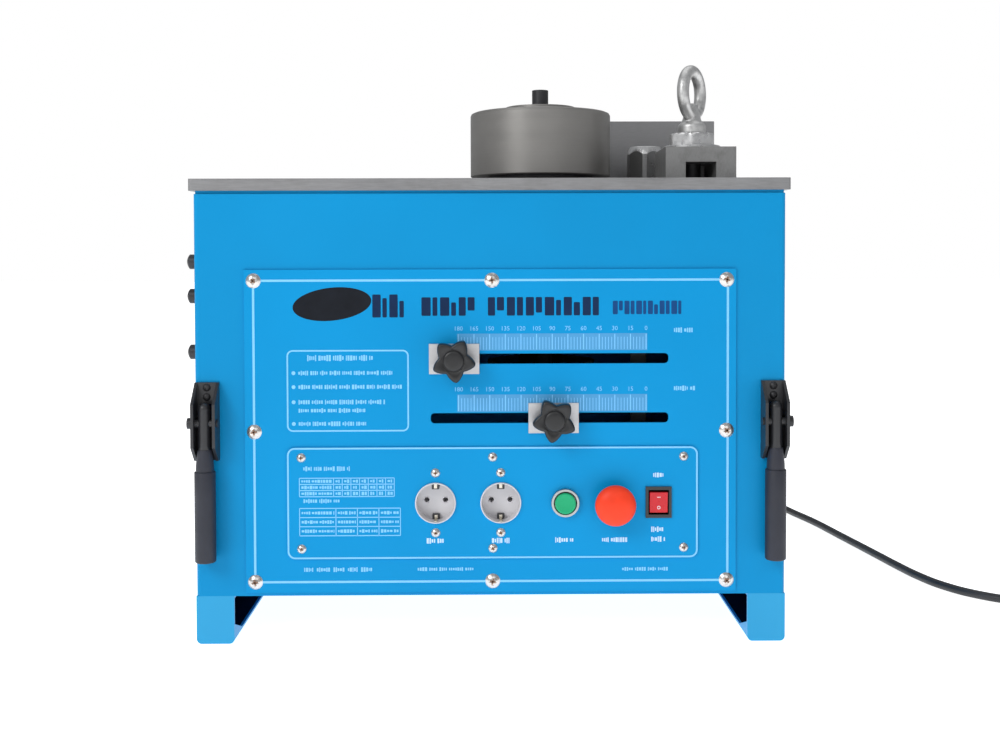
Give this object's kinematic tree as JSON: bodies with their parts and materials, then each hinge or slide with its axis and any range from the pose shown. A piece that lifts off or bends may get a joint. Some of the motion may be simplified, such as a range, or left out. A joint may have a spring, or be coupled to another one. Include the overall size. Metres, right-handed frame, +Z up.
{
  "type": "rebar bender",
  "caption": "Table-top electric bender for steel reinforcing bar: geared centre former and arm, fence, stop cam, angle sliders on the front panel and folding handles.",
  "frame": {"origin": "on the floor, under the middle of the case", "axes": "+X to the right as seen from the front, -Y is the front with the control panel, +Z up"},
  "size_m": [1.0694, 0.8286, 0.6034],
  "materials": {
    "blue_powder_coat": "gloss powder coat",
    "panel_blue": "gloss powder coat with printed scales",
    "foot_blue": "gloss powder coat",
    "table_steel": "ground steel",
    "tool_steel": "turned steel",
    "block_steel": "milled steel",
    "arm_steel": "satin black paint",
    "black_fasteners": "black oxide",
    "zinc_fasteners": "zinc plated",
    "handle_black": "satin black paint",
    "grip_plastic": "grained plastic",
    "socket_plastic": "light grey thermoplastic",
    "bezel_metal": "polished",
    "green_plastic": "gloss",
    "red_plastic": "gloss",
    "rocker_red": "translucent red",
    "black_plastic": "satin",
    "slider_steel": "zinc plated",
    "knob_plastic": "satin black plastic",
    "gear_steel": "cut steel",
    "bronze": "cast and turned",
    "frame_paint": "grey primer",
    "motor_paint": "blue enamel",
    "control_plastic": "light plastic",
    "cord_rubber": "satin rubber"
  },
  "bodies": {
    "base": {"body_shell": "blue_powder_coat", "rear_cover": "blue_powder_coat", "base_pan": "blue_powder_coat", "foot_rails": "foot_blue", "top_plate": "table_steel", "front_panel": "panel_blue", "electrical_plate": "panel_blue", "panel_screws": "zinc_fasteners", "plate_screws": "zinc_fasteners", "sockets": "socket_plastic", "start_bezel": "bezel_metal", "stop_collar": "black_plastic", "rocker_frame": "black_plastic", "handle_brackets": "handle_black", "handle_fasteners": "black_fasteners", "side_bolts": "black_fasteners", "table_screws": "black_fasteners", "fence_block": "block_steel", "cam_bolt": "black_fasteners", "bridge_block": "block_steel", "clamp_bolt": "zinc_fasteners", "eye_bolt": "zinc_fasteners", "gear_frame": "frame_paint", "bearings": "bronze", "rack_rail": "frame_paint", "gear_motor": "motor_paint", "contactor": "control_plastic", "cable_gland": "black_plastic", "power_cord": "cord_rubber", "cord_coil": "cord_rubber", "plug": "cord_rubber"},
    "turntable": {"main_spindle": "gear_steel", "main_gear": "gear_steel", "trip_gear": "bronze", "bending_arm": "arm_steel", "centre_former": "tool_steel", "former_washer": "tool_steel", "former_bolt": "black_fasteners", "roller_pin": "tool_steel"},
    "roller": {"bending_roller": "tool_steel"},
    "layshaft": {"layshaft": "gear_steel"},
    "motor_rotor": {"motor_pinion": "gear_steel"},
    "idler": {"trip_idler": "bronze"},
    "rack": {"trip_rack": "slider_steel"},
    "cam": {"stop_cam": "tool_steel"},
    "slider_a": {"slider_upper": "slider_steel"},
    "slider_b": {"slider_lower": "slider_steel"},
    "knob_a": {"knob_upper": "knob_plastic"},
    "knob_b": {"knob_lower": "knob_plastic"},
    "start": {"start_button": "green_plastic"},
    "stop": {"stop_button": "red_plastic"},
    "rocker": {"rocker_key": "rocker_red"},
    "handle_front_left": {"lever_front_left": "handle_black", "grip_front_left": "grip_plastic"},
    "handle_front_right": {"lever_front_right": "handle_black", "grip_front_right": "grip_plastic"},
    "handle_rear_left": {"lever_rear_left": "handle_black", "grip_rear_left": "grip_plastic"},
    "handle_rear_right": {"lever_rear_right": "handle_black", "grip_rear_right": "grip_plastic"}
  },
  "joints": [
    {"name": "spindle_turn", "type": "hinge", "parent": "base", "child": "turntable", "pos_m": [0.058, -0.079, 0.468], "axis": [0, 0, 1], "range_deg": [0, 180]},
    {"name": "roller_spin", "type": "hinge", "parent": "turntable", "child": "roller", "pos_m": [0.03298, 0.06585, 0.5], "axis": [0, 0, 1], "continuous": true},
    {"name": "layshaft_turn", "type": "hinge", "parent": "base", "child": "layshaft", "pos_m": [-0.08056, 0.001, 0.4], "axis": [0, 0, 1], "range_deg": [-720, 0]},
    {"name": "motor_turn", "type": "hinge", "parent": "base", "child": "motor_rotor", "pos_m": [-0.14774, 0.06817, 0.36], "axis": [0, 0, 1], "range_deg": [0, 2700]},
    {"name": "idler_turn", "type": "hinge", "parent": "base", "child": "idler", "pos_m": [0.058, -0.163, 0.264], "axis": [0, 0, 1], "range_deg": [-424.8, 0]},
    {"name": "rack_slide", "type": "slide", "parent": "base", "child": "rack", "axis": [-1, 0, 0], "range_m": [0, 0.18536]},
    {"name": "cam_turn", "type": "hinge", "parent": "base", "child": "cam", "pos_m": [0.1864, -0.022, 0.5], "axis": [0, 0, 1], "continuous": true},
    {"name": "slider_upper_slide", "type": "slide", "parent": "base", "child": "slider_a", "axis": [1, 0, 0], "range_m": [0, 0.19]},
    {"name": "slider_lower_slide", "type": "slide", "parent": "base", "child": "slider_b", "axis": [1, 0, 0], "range_m": [-0.099, 0.0915]},
    {"name": "knob_upper_turn", "type": "hinge", "parent": "slider_a", "child": "knob_a", "pos_m": [-0.0365, -0.27, 0.2873], "axis": [0, 1, 0], "continuous": true},
    {"name": "knob_lower_turn", "type": "hinge", "parent": "slider_b", "child": "knob_b", "pos_m": [0.063, -0.27, 0.2276], "axis": [0, 1, 0], "continuous": true},
    {"name": "start_press", "type": "slide", "parent": "base", "child": "start", "axis": [0, 1, 0], "range_m": [0, 0.0025], "stiffness_N_per_m": 1200, "springref_m": -0.002},
    {"name": "stop_press", "type": "slide", "parent": "base", "child": "stop", "axis": [0, 1, 0], "range_m": [0, 0.004], "stiffness_N_per_m": 1500, "springref_m": -0.003},
    {"name": "rocker_tilt", "type": "hinge", "parent": "base", "child": "rocker", "pos_m": [0.1683, -0.261, 0.1425], "axis": [-1, 0, 0], "range_deg": [0, 16]},
    {"name": "handle_front_left_fold", "type": "hinge", "parent": "base", "child": "handle_front_left", "pos_m": [-0.284, -0.2735, 0.225], "axis": [-1, 0, 0], "range_deg": [0, 90]},
    {"name": "handle_front_right_fold", "type": "hinge", "parent": "base", "child": "handle_front_right", "pos_m": [0.284, -0.2735, 0.225], "axis": [-1, 0, 0], "range_deg": [0, 90]},
    {"name": "handle_rear_left_fold", "type": "hinge", "parent": "base", "child": "handle_rear_left", "pos_m": [-0.284, 0.2765, 0.225], "axis": [1, 0, 0], "range_deg": [0, 90]},
    {"name": "handle_rear_right_fold", "type": "hinge", "parent": "base", "child": "handle_rear_right", "pos_m": [0.284, 0.2765, 0.225], "axis": [1, 0, 0], "range_deg": [0, 90]}
  ],
  "couplings": [
    {"joint": "layshaft_turn", "follows": "spindle_turn", "ratio": -4},
    {"joint": "motor_turn", "follows": "spindle_turn", "ratio": 15},
    {"joint": "idler_turn", "follows": "spindle_turn", "ratio": -2.36},
    {"joint": "rack_slide", "follows": "spindle_turn", "m_per_rad": 0.059}
  ]
}
